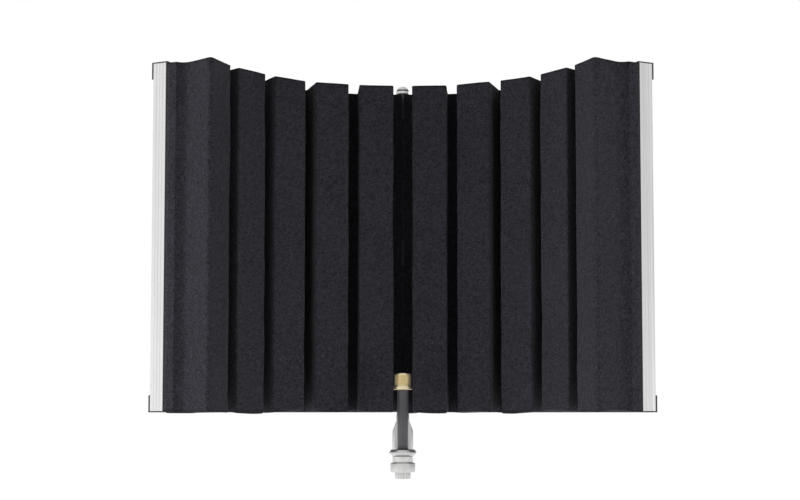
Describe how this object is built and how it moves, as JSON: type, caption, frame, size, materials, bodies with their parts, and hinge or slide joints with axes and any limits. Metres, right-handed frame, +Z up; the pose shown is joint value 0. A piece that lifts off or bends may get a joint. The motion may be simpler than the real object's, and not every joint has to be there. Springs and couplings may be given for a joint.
{
  "type": "microphone isolation shield",
  "caption": "Curved folding microphone isolation shield: ribbed foam wings on perforated aluminium baffles, a hinge rod, and an arm that threads onto a microphone stand.",
  "frame": {"origin": "centre of the stand socket's mouth, on the stand's axis", "axes": "+Z up along the stand and the hinge rod, +X to the right as the singer sees the foam, -Y towards the singer; the socket's mouth looks along -Z"},
  "size_m": [0.4598, 0.1865, 0.3965],
  "materials": {
    "foam": "matte",
    "strip_aluminium": "satin",
    "baffle_aluminium": "satin",
    "frame_black": "satin",
    "hinge_black": "satin",
    "rivet_black": "satin",
    "trim_rubber": "matte",
    "screw_steel": "satin",
    "rod_steel": "satin",
    "washer_nylon": "matte",
    "washer_bright": "polished",
    "cap_nickel": "polished",
    "arm_nickel": "satin",
    "socket_nickel": "satin",
    "nut_nickel": "satin",
    "foot_nickel": "satin",
    "knob_nickel": "satin",
    "post_black": "satin",
    "tip_brass": "satin"
  },
  "bodies": {
    "mount": {"mount_arm": "arm_nickel", "stand_socket": "socket_nickel", "mic_post": "post_black", "post_tip": "tip_brass"},
    "post_nut": {"post_lock_nut": "nut_nickel"},
    "carriage": {"hinge_foot": "foot_nickel", "hinge_rod": "rod_steel", "hinge_washers": "washer_nylon", "rod_top_washer": "washer_bright", "rod_friction_washer": "washer_nylon", "rod_cap_nut": "cap_nickel", "clamp_washer": "washer_bright"},
    "clamp_knob": {"clamp_screw": "knob_nickel"},
    "left_wing": {"left_inner_stile": "frame_black", "left_outer_stile": "strip_aluminium", "left_edge_trim": "trim_rubber", "left_top_rail": "frame_black", "left_bottom_rail": "frame_black", "left_baffle": "baffle_aluminium", "left_rail_rivets": "rivet_black", "left_foam": "foam", "left_hinge_bottom": "hinge_black", "left_hinge_middle": "hinge_black", "left_hinge_top": "hinge_black", "left_hinge_screws": "screw_steel"},
    "right_wing": {"right_inner_stile": "frame_black", "right_outer_stile": "strip_aluminium", "right_edge_trim": "trim_rubber", "right_top_rail": "frame_black", "right_bottom_rail": "frame_black", "right_baffle": "baffle_aluminium", "right_rail_rivets": "rivet_black", "right_foam": "foam", "right_hinge_bottom": "hinge_black", "right_hinge_middle": "hinge_black", "right_hinge_top": "hinge_black", "right_hinge_screws": "screw_steel"}
  },
  "joints": [
    {"name": "foot_slide", "type": "slide", "parent": "mount", "child": "carriage", "axis": [0, 1, 0], "range_m": [-0.015, 0.015]},
    {"name": "left_wing_hinge", "type": "hinge", "parent": "carriage", "child": "left_wing", "pos_m": [0, 0.105, 0], "axis": [0, 0, -1], "range_deg": [0, 35]},
    {"name": "right_wing_hinge", "type": "hinge", "parent": "carriage", "child": "right_wing", "pos_m": [0, 0.105, 0], "axis": [0, 0, 1], "range_deg": [0, 35]},
    {"name": "clamp_screw_turn", "type": "hinge", "parent": "carriage", "child": "clamp_knob", "pos_m": [0, 0.105, 0], "axis": [0, 0, -1], "range_deg": [0, 360]},
    {"name": "lock_nut_turn", "type": "hinge", "parent": "mount", "child": "post_nut", "pos_m": [0, 0, 0], "axis": [0, 0, 1], "range_deg": [0, 360]}
  ]
}
